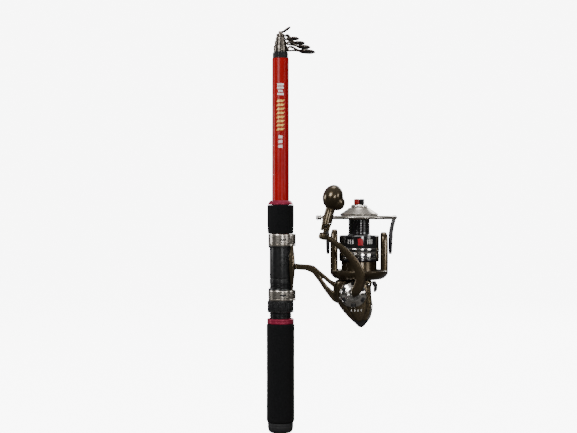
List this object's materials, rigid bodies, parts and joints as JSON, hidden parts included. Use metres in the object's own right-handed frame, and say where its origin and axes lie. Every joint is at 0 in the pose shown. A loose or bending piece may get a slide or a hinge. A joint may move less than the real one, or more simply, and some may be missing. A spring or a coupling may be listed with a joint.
{
  "type": "fishing rod and reel",
  "caption": "Telescopic spinning rod, collapsed, with a spinning reel clamped in its seat: wire bail, drag knob, folding crank and sliding ringed sections.",
  "frame": {"origin": "centre of the butt cap's end face, on the rod's axis", "axes": "+Z along the rod from the butt to the tip, +X towards the reel and the line guides, the crank on the -Y side"},
  "size_m": [0.139, 0.0918, 0.4334],
  "materials": {
    "red_lacquer": "deep red lacquer",
    "red_trim": "crimson anodised",
    "foam": "fine matt EVA foam",
    "black_rubber": "satin moulded rubber",
    "black_plastic": "satin black",
    "nickel": "warm satin nickel",
    "chrome": "bright polished",
    "carbon": "dark fibre laminate, satin",
    "bronze_paint": "dark bronze gloss paint",
    "black_gloss": "gloss black",
    "steel": "ground",
    "brass": "machined",
    "ceramic": "dark polished",
    "red_knob": "gloss red",
    "felt": "greased felt"
  },
  "bodies": {
    "rod_and_reel_frame": {"butt_cap": "black_rubber", "rear_grip": "foam", "rear_trim_ring": "red_trim", "seat_tube": "black_plastic", "upper_hood": "nickel", "foregrip": "foam", "fore_trim_ring": "red_trim", "butt_blank": "red_lacquer", "blank_end_band": "black_gloss", "reel_frame": "bronze_paint", "side_cover": "bronze_paint", "cover_screw_1": "chrome", "cover_screw_2": "chrome", "tail_cap": "black_plastic", "opposite_cap": "chrome", "drive_bearing": "steel", "pinion_bearing": "steel"},
    "hood": {"lower_hood": "nickel"},
    "nut": {"lock_nut": "black_plastic"},
    "section_2_body": {"section_2": "carbon", "ferrule_2": "nickel", "guide_2_frame": "nickel", "guide_2_ring": "ceramic"},
    "section_3_body": {"section_3": "carbon", "ferrule_3": "nickel", "guide_3_frame": "nickel", "guide_3_ring": "ceramic"},
    "section_4_body": {"section_4": "carbon", "ferrule_4": "nickel", "guide_4_frame": "nickel", "guide_4_ring": "ceramic"},
    "section_5_body": {"section_5": "carbon", "ferrule_5": "nickel", "guide_5_frame": "nickel", "guide_5_ring": "ceramic"},
    "tip_body": {"tip_section": "carbon", "tip_top_frame": "nickel", "tip_top_ring": "ceramic"},
    "lever": {"anti_reverse_lever": "black_plastic"},
    "crank": {"drive_gear": "steel", "drive_boss": "chrome", "crank_knuckle": "chrome"},
    "arm": {"crank_arm": "bronze_paint"},
    "knob_fork": {"knob_spindle": "steel"},
    "knob": {"handle_knob": "bronze_paint"},
    "rotor_body": {"rotor": "bronze_paint", "rotor_nut": "steel", "pinion_gear": "brass"},
    "bail": {"bail_lever_roller_side": "black_plastic", "bail_lever_far_side": "black_plastic", "bail_wire": "chrome"},
    "roller": {"line_roller": "chrome"},
    "shaft": {"main_shaft": "steel"},
    "spool_body": {"spool": "black_gloss", "spool_lip": "chrome", "spool_band": "chrome", "drag_washer": "felt"},
    "drag": {"drag_knob": "chrome", "drag_grip_red": "red_knob", "drag_grip_grey": "black_gloss"}
  },
  "joints": [
    {"name": "section_2_slide", "type": "slide", "parent": "rod_and_reel_frame", "child": "section_2_body", "axis": [0, 0, 1], "range_m": [0, 0.34]},
    {"name": "section_3_slide", "type": "slide", "parent": "section_2_body", "child": "section_3_body", "axis": [0, 0, 1], "range_m": [0, 0.34]},
    {"name": "section_4_slide", "type": "slide", "parent": "section_3_body", "child": "section_4_body", "axis": [0, 0, 1], "range_m": [0, 0.34]},
    {"name": "section_5_slide", "type": "slide", "parent": "section_4_body", "child": "section_5_body", "axis": [0, 0, 1], "range_m": [0, 0.34]},
    {"name": "tip_slide", "type": "slide", "parent": "section_5_body", "child": "tip_body", "axis": [0, 0, 1], "range_m": [0, 0.34]},
    {"name": "hood_slide", "type": "slide", "parent": "rod_and_reel_frame", "child": "hood", "axis": [0, 0, -1], "range_m": [0, 0.006]},
    {"name": "nut_turn", "type": "hinge", "parent": "hood", "child": "nut", "pos_m": [0, 0, 0.1345], "axis": [0, 0, 1], "range_deg": [0, 1441]},
    {"name": "handle_turn", "type": "hinge", "parent": "rod_and_reel_frame", "child": "crank", "pos_m": [0.0765, 0, 0.1489], "axis": [0, 1, 0], "continuous": true},
    {"name": "arm_fold", "type": "hinge", "parent": "crank", "child": "arm", "pos_m": [0.0765, -0.031, 0.1489], "axis": [0.891, 0, 0.454], "range_deg": [0, 80]},
    {"name": "knob_fold", "type": "hinge", "parent": "arm", "child": "knob_fork", "pos_m": [0.04625, -0.05, 0.21868], "axis": [0.9682, 0, -0.2501], "range_deg": [0, 90]},
    {"name": "knob_spin", "type": "hinge", "parent": "knob_fork", "child": "knob", "pos_m": [0.04625, -0.05, 0.21868], "axis": [0.2501, 0, 0.9682], "continuous": true},
    {"name": "rotor_spin", "type": "hinge", "parent": "rod_and_reel_frame", "child": "rotor_body", "pos_m": [0.084, 0, 0.1633], "axis": [0, 0, 1], "continuous": true},
    {"name": "bail_flip", "type": "hinge", "parent": "rotor_body", "child": "bail", "pos_m": [0.084, 0, 0.2095], "axis": [-1, 0, 0], "range_deg": [0, 115]},
    {"name": "roller_spin", "type": "hinge", "parent": "bail", "child": "roller", "pos_m": [0.0414, 0, 0.2295], "axis": [1, 0, 0], "continuous": true},
    {"name": "spool_stroke", "type": "slide", "parent": "rod_and_reel_frame", "child": "shaft", "axis": [0, 0, -1], "range_m": [0, 0.012]},
    {"name": "spool_spin", "type": "hinge", "parent": "shaft", "child": "spool_body", "pos_m": [0.084, 0, 0.2106], "axis": [0, 0, 1], "continuous": true},
    {"name": "drag_turn", "type": "hinge", "parent": "shaft", "child": "drag", "pos_m": [0.084, 0, 0.2404], "axis": [0, 0, 1], "range_deg": [-540, 540]},
    {"name": "anti_reverse_flip", "type": "hinge", "parent": "rod_and_reel_frame", "child": "lever", "pos_m": [0.0988, 0, 0.1608], "axis": [0, -1, 0], "range_deg": [0, 30]}
  ],
  "couplings": [
    {"joint": "nut_turn", "follows": "hood_slide", "rad_per_m": 4188.8},
    {"joint": "rotor_spin", "follows": "handle_turn", "ratio": 5.2}
  ]
}
